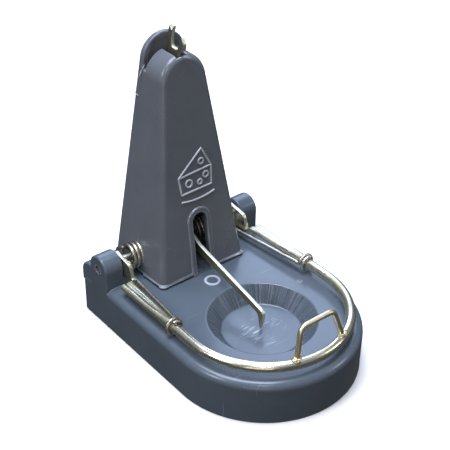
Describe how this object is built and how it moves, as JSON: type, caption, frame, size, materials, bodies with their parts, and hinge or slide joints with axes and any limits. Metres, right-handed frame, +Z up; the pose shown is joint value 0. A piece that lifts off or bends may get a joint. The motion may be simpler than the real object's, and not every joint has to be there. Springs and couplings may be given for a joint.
{
  "type": "snap mouse trap",
  "caption": "Moulded snap trap: a sprung wire striker swings over a bait dish and is held open by a stamped trigger in a hollow tower.",
  "frame": {"origin": "middle of the base's underside, on the surface that the trap stands on", "axes": "+Z up the tower, -Y towards the round front with the bait dish, +X to the right seen from the front; the axle lies along X"},
  "size_m": [0.08, 0.1106, 0.1238],
  "materials": {
    "base_plastic": "injection moulded, semi-gloss blue-grey",
    "tower_plastic": "injection moulded, semi-gloss dark grey",
    "zinc_pins": "bright zinc plate",
    "spring_wire": "bright zinc plated spring wire",
    "passivated_wire": "zinc plate with a pale yellow passivate",
    "loop_wire": "zinc plate with a brassy yellow passivate",
    "stamped_steel": "stamped sheet steel, dull olive passivate"
  },
  "bodies": {
    "frame": {"base": "base_plastic", "tower": "tower_plastic", "axle": "zinc_pins", "trigger_pivot_pin": "zinc_pins", "tower_screw_front_left": "zinc_pins", "tower_screw_rear_left": "zinc_pins", "tower_screw_front_right": "zinc_pins", "tower_screw_rear_right": "zinc_pins", "spring_coil_left": "spring_wire", "spring_coil_right": "spring_wire"},
    "striker": {"striker_bar": "passivated_wire", "catch_loop": "loop_wire", "spring_leg_left": "spring_wire", "spring_leg_right": "spring_wire"},
    "trigger": {"trigger_plate": "stamped_steel"}
  },
  "joints": [
    {"name": "striker_swing", "type": "hinge", "parent": "frame", "child": "striker", "pos_m": [0, 0.04205, 0.0269], "axis": [-1, 0, 0], "range_deg": [0, 81.8], "stiffness_Nm_per_rad": 0.35, "springref_deg": -57.3},
    {"name": "trigger_tilt", "type": "hinge", "parent": "frame", "child": "trigger", "pos_m": [0, 0.04205, 0.09204], "axis": [-1, 0, 0], "range_deg": [0, 2.5]}
  ]
}
